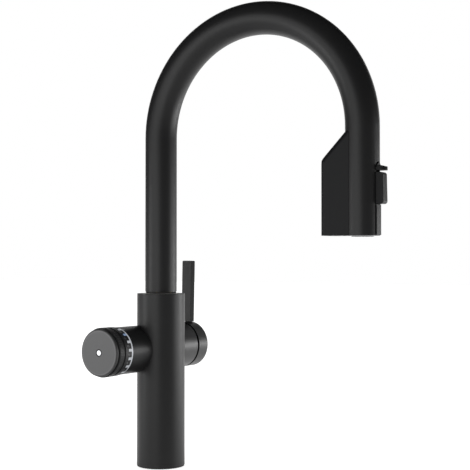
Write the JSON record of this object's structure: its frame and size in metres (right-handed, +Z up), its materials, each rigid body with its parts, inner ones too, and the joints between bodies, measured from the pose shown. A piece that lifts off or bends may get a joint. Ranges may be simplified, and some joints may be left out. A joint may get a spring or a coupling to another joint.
{
  "type": "boiling water tap",
  "caption": "Matt black swan-neck kitchen tap with pull-out spray head, separate boiling water outlet, side mixer lever and push-and-turn measuring dial.",
  "frame": {"origin": "centre of the column's foot, on the worktop's top face", "axes": "+Z up along the column; the mixer lever points to +X and the measuring dial to -X; the spout reaches towards -Y, turned 5 degrees towards +X at rest"},
  "size_m": [0.1463, 0.2857, 0.4587],
  "materials": {
    "matt_black": "matt black coating",
    "dark_trim": "matt dark",
    "face_metal": "satin dark grey",
    "dark_plastic": "satin black",
    "white_light": "opal white",
    "brass": "turned",
    "steel": "turned",
    "rubber": "matt",
    "pale_plastic": "natural",
    "blue_plastic": "natural",
    "braided_hose": "woven sleeve",
    "spray_grey": "satin grey",
    "electronics": "matt"
  },
  "bodies": {
    "base": {"column": "matt_black", "foot_ring": "brass", "foot_gasket": "rubber", "valve_body": "brass", "cartridge_cup": "brass", "cartridge": "pale_plastic", "cartridge_nut": "brass", "cross_housing": "matt_black", "lever_dome": "dark_trim", "light_ring": "white_light", "dial_bush": "pale_plastic", "encoder_body": "electronics", "control_board": "electronics", "swivel_bush": "pale_plastic", "swivel_washer": "rubber", "swivel_stop": "steel", "hose_lower": "braided_hose", "hot_tube_lower": "pale_plastic"},
    "spout": {"spout_tube": "matt_black", "swivel_journal": "brass", "swivel_orings": "rubber", "swivel_clip": "steel", "outlet_housing": "matt_black", "outlet_floor": "dark_trim", "hot_nozzle": "steel", "hot_tube": "pale_plastic", "hot_elbow": "steel", "hose_upper": "braided_hose", "dock_ring": "steel"},
    "head": {"head_shell": "matt_black", "head_core": "pale_plastic", "head_magnet": "steel", "thumb_ledge": "matt_black", "spray_face": "spray_grey", "hose_nut": "steel", "diverter": "pale_plastic", "rocker_pin": "steel", "hose_drop": "braided_hose"},
    "rocker": {"rocker_button": "matt_black"},
    "lever_turn": {"cartridge_carrier": "blue_plastic", "carrier_pin": "steel"},
    "lever": {"lever_stem": "brass", "lever_cap": "matt_black", "lever_blade": "matt_black", "lever_screw": "steel"},
    "dial": {"dial_hub": "dark_plastic", "scale_ring": "dark_plastic", "dial_grip": "dark_plastic", "encoder_shaft": "steel", "dial_clip": "steel", "push_switch": "electronics"},
    "button": {"push_face": "face_metal", "face_lamp": "white_light"}
  },
  "joints": [
    {"name": "spout_swivel", "type": "hinge", "parent": "base", "child": "spout", "pos_m": [0, 0, 0.175], "axis": [0, 0, 1], "range_deg": [-75, 65]},
    {"name": "head_pull", "type": "slide", "parent": "spout", "child": "head", "axis": [0, 0, -1], "range_m": [0, 0.2], "deforming": ["hose_drop"]},
    {"name": "rocker_tilt", "type": "hinge", "parent": "head", "child": "rocker", "pos_m": [0.02074, -0.23708, 0.2739], "axis": [0.9962, 0.0872, 0], "range_deg": [-5, 5]},
    {"name": "lever_temperature", "type": "hinge", "parent": "base", "child": "lever_turn", "pos_m": [0.037, 0.0157, 0.118], "axis": [1, 0, 0], "range_deg": [-45, 45]},
    {"name": "lever_flow", "type": "hinge", "parent": "lever_turn", "child": "lever", "pos_m": [0.037, 0.0157, 0.118], "axis": [0, 1, 0], "range_deg": [0, 18]},
    {"name": "dial_turn", "type": "hinge", "parent": "base", "child": "dial", "pos_m": [-0.06, 0.0157, 0.118], "axis": [-1, 0, 0], "continuous": true},
    {"name": "face_press", "type": "slide", "parent": "dial", "child": "button", "axis": [1, 0, 0], "range_m": [0, 0.001], "stiffness_N_per_m": 1500, "springref_m": -0.001}
  ]
}
